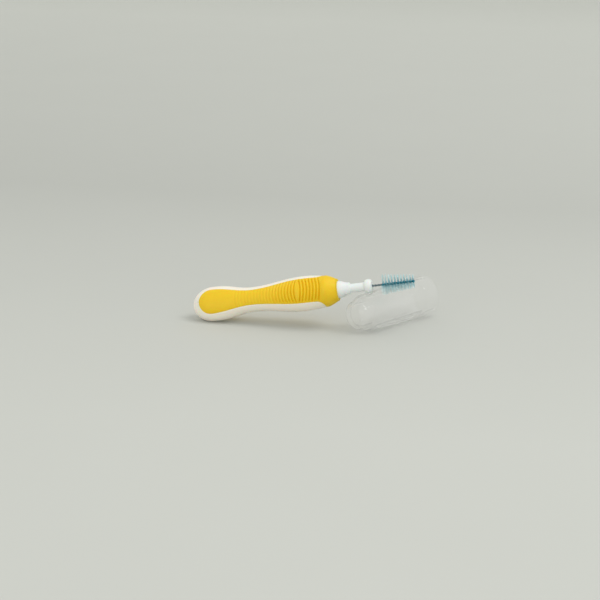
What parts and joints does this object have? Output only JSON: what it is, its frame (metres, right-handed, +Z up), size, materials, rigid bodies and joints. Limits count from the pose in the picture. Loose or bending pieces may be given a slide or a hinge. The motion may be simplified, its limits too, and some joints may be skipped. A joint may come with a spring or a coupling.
{
  "type": "interdental brush",
  "caption": "Interdental brush: a two-colour grip handle with a thin neck, a tapered bristle head on twisted wire, and a clear cap lying beside it.",
  "frame": {"origin": "on the surface that the part lies on, under the middle of its overall box", "axes": "+X from the handle's tail to the bristle tip, seen from above; +Y to the side that the cap's mouth points to; +Z up"},
  "size_m": [0.0806, 0.0326, 0.0198],
  "materials": {
    "white_plastic": "satin",
    "soft_grip": "satin",
    "steel_wire": "bright",
    "nylon_filament": "translucent",
    "clear_plastic": "clear"
  },
  "bodies": {
    "brush": {"handle_core": "white_plastic", "grip_overmould": "soft_grip", "wire_strand_a": "steel_wire", "wire_strand_b": "steel_wire", "bristle_row_01": "nylon_filament", "bristle_row_02": "nylon_filament", "bristle_row_03": "nylon_filament", "bristle_row_04": "nylon_filament", "bristle_row_05": "nylon_filament", "bristle_row_06": "nylon_filament", "bristle_row_07": "nylon_filament", "bristle_row_08": "nylon_filament", "bristle_row_09": "nylon_filament", "bristle_row_10": "nylon_filament", "bristle_row_11": "nylon_filament"},
    "cap": {"cap": "clear_plastic"}
  },
  "joints": [
    {"name": "cap_slide", "type": "slide", "parent": "brush", "child": "cap", "axis": [0.6157, 0.788, 0], "range_m": [0, 0.045]}
  ]
}
